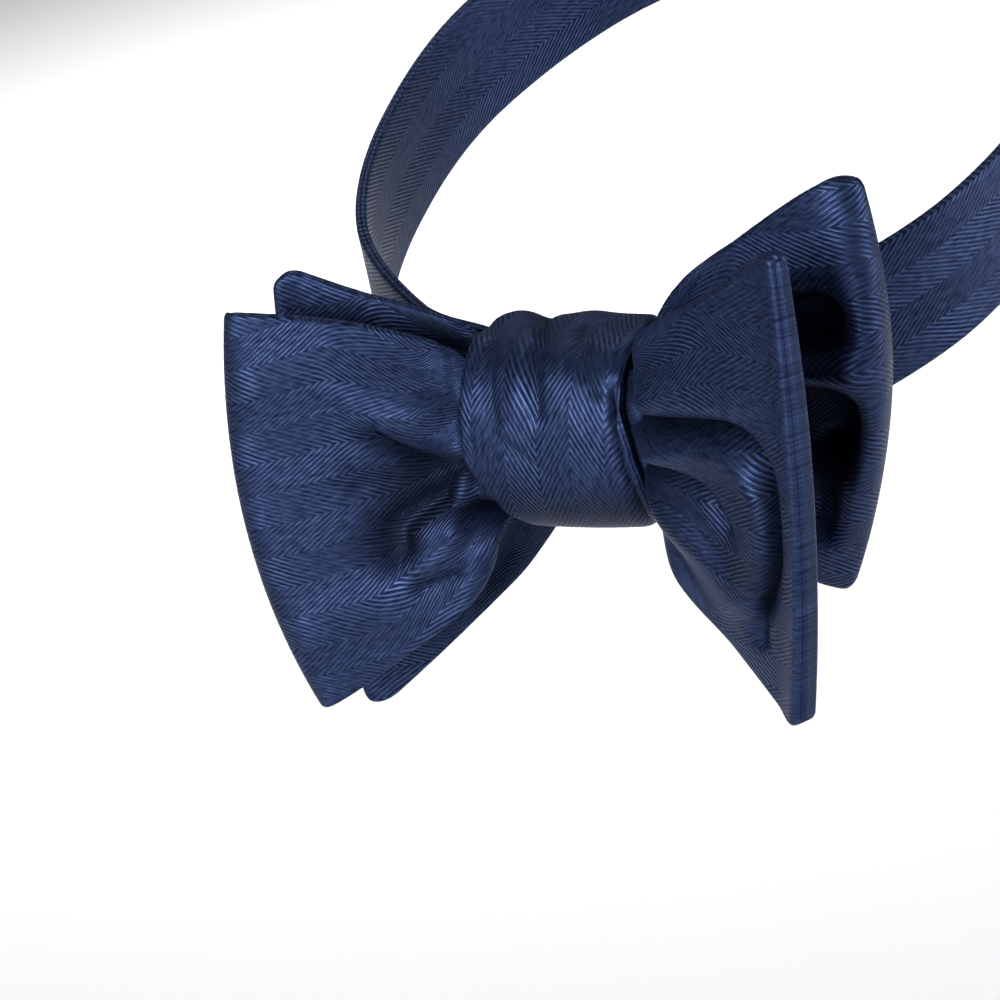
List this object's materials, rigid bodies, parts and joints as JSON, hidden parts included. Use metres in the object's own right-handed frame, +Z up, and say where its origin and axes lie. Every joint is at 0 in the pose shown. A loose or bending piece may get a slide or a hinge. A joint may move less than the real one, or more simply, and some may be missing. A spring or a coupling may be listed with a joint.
{
  "type": "self-tie bow tie",
  "caption": "Self-tie bow tie in navy herringbone silk, tied: two overlapping bows pinched in a pleated knot, on a band that loops round the neck.",
  "frame": {"origin": "middle of the front of the neck, just behind the knot, where the tie sits on the collar", "axes": "+X towards the wearer's left, -Y forward, +Z up"},
  "size_m": [0.1238, 0.1727, 0.1035],
  "materials": {
    "navy_silk": "woven herringbone silk with a soft sheen"
  },
  "bodies": {
    "root": {"front_bow": "navy_silk", "back_bow": "navy_silk", "knot": "navy_silk", "neck_band": "navy_silk"}
  },
  "joints": []
}
